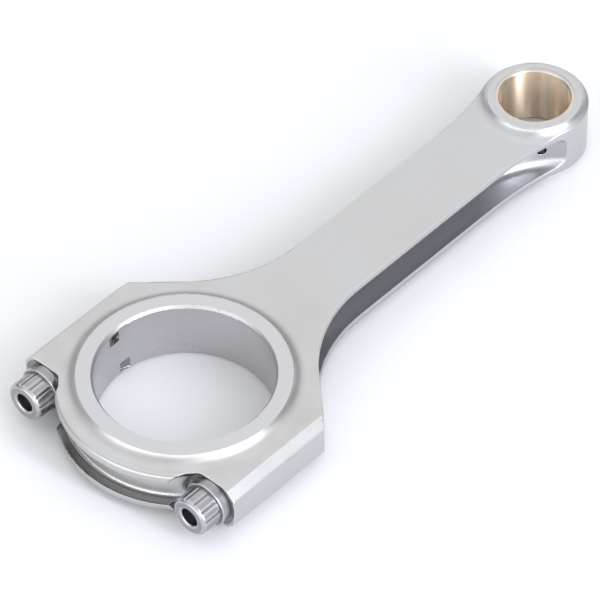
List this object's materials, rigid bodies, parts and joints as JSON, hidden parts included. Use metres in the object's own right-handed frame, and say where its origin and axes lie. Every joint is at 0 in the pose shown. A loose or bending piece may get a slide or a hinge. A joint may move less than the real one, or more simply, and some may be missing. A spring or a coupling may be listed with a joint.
{
  "type": "connecting rod",
  "caption": "H-beam connecting rod: a split big end with a bolted cap, a straight beam with side channels, and a small end with a pressed-in bronze bush.",
  "frame": {"origin": "centre of the big-end bore, on the rod's middle plane", "axes": "+X along the rod to the small end, +Z along the big-end and small-end bores, +Y across the beam"},
  "size_m": [0.202, 0.08, 0.0196],
  "materials": {
    "rod_steel": "machined and fine bead-blasted, satin; honed bore and ground thrust faces",
    "bush_bronze": "fine-bored bearing bronze, semi-gloss",
    "sleeve_steel": "ground",
    "screw_steel": "forged and heat-treated alloy steel, dark semi-gloss"
  },
  "bodies": {
    "rod": {"rod_body": "rod_steel", "pin_bush": "bush_bronze"},
    "cap": {"rod_cap": "rod_steel", "dowel_sleeve_left": "sleeve_steel", "dowel_sleeve_right": "sleeve_steel"},
    "screw_left": {"cap_screw_left": "screw_steel"},
    "screw_right": {"cap_screw_right": "screw_steel"}
  },
  "joints": [
    {"name": "cap_pull", "type": "slide", "parent": "rod", "child": "cap", "axis": [-1, 0, 0], "range_m": [0, 0.03]},
    {"name": "screw_left_out", "type": "slide", "parent": "cap", "child": "screw_left", "axis": [-1, 0, 0], "range_m": [0, 0.042]},
    {"name": "screw_right_out", "type": "slide", "parent": "cap", "child": "screw_right", "axis": [-1, 0, 0], "range_m": [0, 0.042]}
  ]
}
